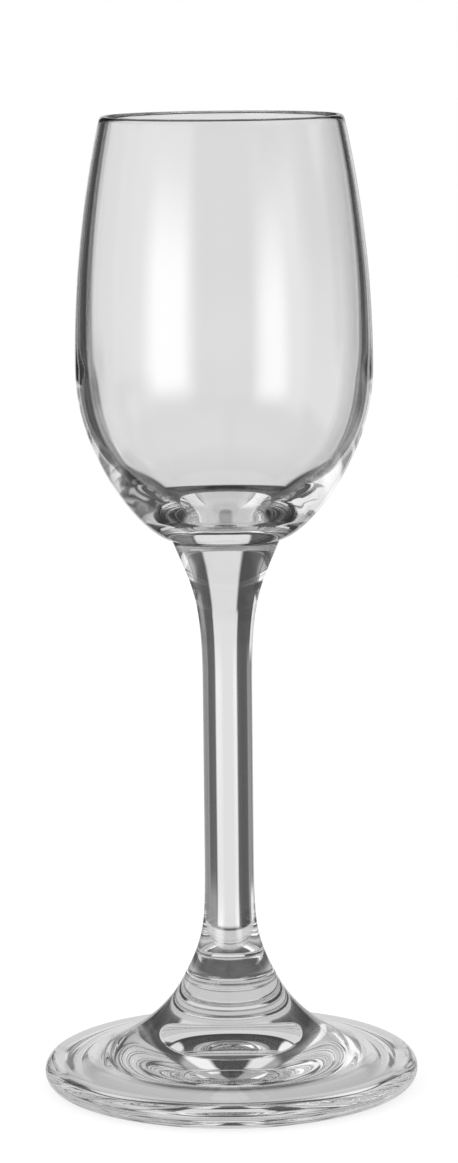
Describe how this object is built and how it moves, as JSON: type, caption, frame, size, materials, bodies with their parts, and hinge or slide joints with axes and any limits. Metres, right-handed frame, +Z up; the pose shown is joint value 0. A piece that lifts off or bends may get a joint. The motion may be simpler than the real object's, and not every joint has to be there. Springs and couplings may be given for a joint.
{
  "type": "liqueur glass",
  "caption": "Small clear stemmed glass with a tulip bowl that draws in to the mouth, a slender round stem and a flared disc foot, for serving liqueur.",
  "frame": {"origin": "on the axis of the glass, in the plane of the table that the foot stands on", "axes": "+Z up along the axis of the glass; X and Y are level and alike, because the glass is round"},
  "size_m": [0.0542, 0.0542, 0.14],
  "materials": {
    "clear_glass": "clear, colourless, fire-polished"
  },
  "bodies": {
    "root": {"bowl": "clear_glass", "stem": "clear_glass", "foot": "clear_glass"}
  },
  "joints": []
}
